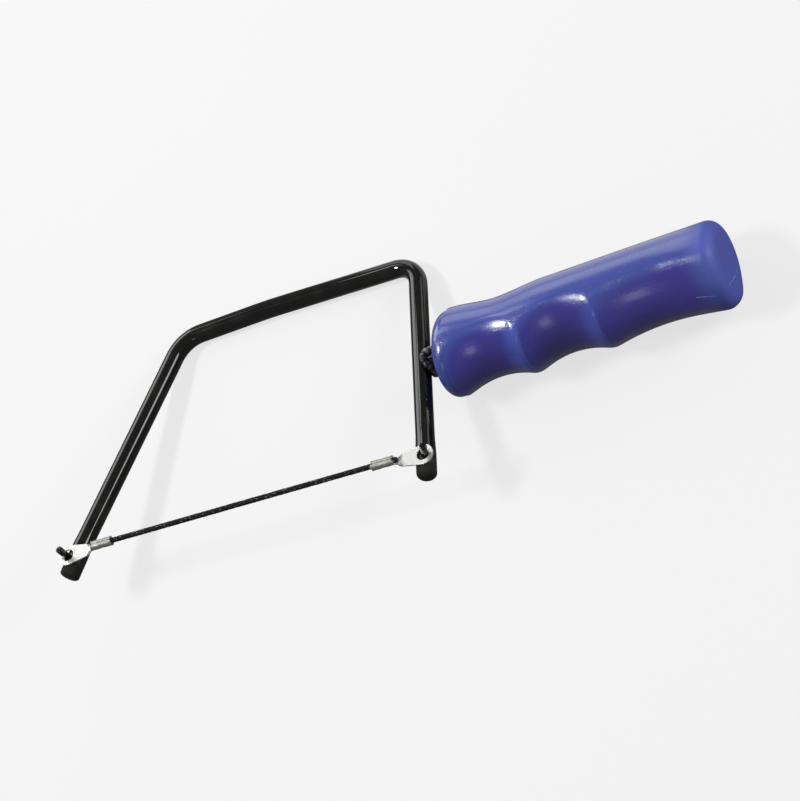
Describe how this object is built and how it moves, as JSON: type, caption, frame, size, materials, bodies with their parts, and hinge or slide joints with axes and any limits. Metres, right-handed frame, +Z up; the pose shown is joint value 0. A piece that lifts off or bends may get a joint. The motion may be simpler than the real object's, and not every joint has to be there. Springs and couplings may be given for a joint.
{
  "type": "tile hand saw",
  "caption": "Hand saw for tiles: a bent round-rod bow with a moulded finger grip on a welded tang, and a carbide wire blade hooked by its eyes on pins.",
  "frame": {"origin": "on the bench under the middle of the saw's box, as it lies on its top bar and the side of its grip", "axes": "+X along the blade towards the grip, +Y across the bow from the blade to the top bar, +Z up"},
  "size_m": [0.2762, 0.0948, 0.0379],
  "materials": {
    "black_lacquer": "gloss black lacquer on steel rod",
    "weld_bead": "lumpy weld under thin black lacquer",
    "blue_plastic": "smooth moulded plastic, semi-gloss",
    "carbide_grit": "rough sintered grit on steel wire",
    "zinc_plate": "bright zinc plate"
  },
  "bodies": {
    "frame": {"bow_frame": "black_lacquer", "front_pin": "black_lacquer", "rear_pin": "black_lacquer", "handle_tang": "black_lacquer", "tang_weld": "weld_bead", "handle_grip": "blue_plastic"},
    "blade": {"blade_wire": "carbide_grit", "front_terminal": "zinc_plate", "rear_terminal": "zinc_plate"}
  },
  "joints": [
    {"name": "blade_unhook", "type": "hinge", "parent": "frame", "child": "blade", "pos_m": [0.0153, -0.03944, 0.02777], "axis": [0.0036, 0.9625, -0.2711], "range_deg": [0, 20]}
  ]
}
